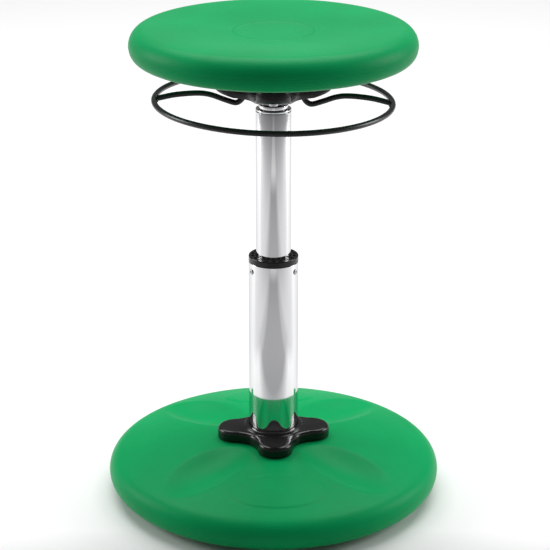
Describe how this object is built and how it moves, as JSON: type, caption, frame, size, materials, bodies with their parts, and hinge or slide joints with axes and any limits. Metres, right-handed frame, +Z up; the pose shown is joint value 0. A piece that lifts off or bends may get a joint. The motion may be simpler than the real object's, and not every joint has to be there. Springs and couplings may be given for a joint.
{
  "type": "wobble stool",
  "caption": "Height-adjustable wobble stool with a round moulded seat, a ring lever, a gas-spring column and a rocking base",
  "frame": {"origin": "on the floor, under the centre of the column", "axes": "+Z up the column, +X along the lever's right arm, -Y towards the front of the stool"},
  "size_m": [0.388, 0.388, 0.554],
  "materials": {
    "green_plastic": "fine matte moulded texture",
    "rubber": "matte",
    "black_plastic": "semi-gloss",
    "chrome": "mirror-bright plating",
    "black_steel": "satin black paint",
    "steel": "plain"
  },
  "bodies": {
    "base": {"base_shell": "green_plastic", "grip_pad": "rubber", "access_cover": "black_plastic", "base_plate": "steel", "star_bracket": "black_plastic", "star_bolt_1": "steel", "star_bolt_2": "steel", "star_bolt_3": "steel", "star_bolt_4": "steel", "lower_sleeve": "chrome", "sleeve_floor": "steel", "guide_bushing": "black_plastic", "bushing_screw_1": "steel", "bushing_screw_2": "steel", "bushing_screw_3": "steel", "thrust_race_lower": "steel"},
    "piston": {"piston_rod": "chrome", "piston": "steel", "rod_clip": "steel", "thrust_cage": "steel", "thrust_race_upper": "steel", "bump_stop": "rubber"},
    "column": {"gas_cylinder": "black_steel", "cylinder_gland": "steel", "upper_tube": "chrome", "tube_guide": "black_plastic", "top_cap": "chrome", "seat_spider": "black_plastic", "lever_pivot_pin": "steel", "seat_plate": "steel", "seat_bolt_1": "steel", "seat_bolt_2": "steel", "seat_bolt_3": "steel", "seat_bolt_4": "steel", "seat_shell": "green_plastic"},
    "lever": {"lever_ring": "black_steel", "lever_arm_left": "black_steel", "lever_arm_right": "black_steel", "lever_rocker": "black_steel"},
    "valve": {"valve_pin": "steel"}
  },
  "joints": [
    {"name": "swivel", "type": "hinge", "parent": "base", "child": "piston", "pos_m": [0, 0, 0.02], "axis": [0, 0, 1], "continuous": true},
    {"name": "lift", "type": "slide", "parent": "piston", "child": "column", "axis": [0, 0, 1], "range_m": [-0.155, 0]},
    {"name": "lever_tilt", "type": "hinge", "parent": "column", "child": "lever", "pos_m": [0, -0.014, 0.482], "axis": [-1, 0, 0], "range_deg": [0, 8], "stiffness_Nm_per_rad": 6, "springref_deg": -20.05},
    {"name": "valve_press", "type": "slide", "parent": "column", "child": "valve", "axis": [0, 0, -1], "range_m": [0, 0.00196], "stiffness_N_per_m": 2000, "springref_m": -0.002}
  ],
  "couplings": [
    {"joint": "valve_press", "follows": "lever_tilt", "m_per_rad": 0.014}
  ]
}
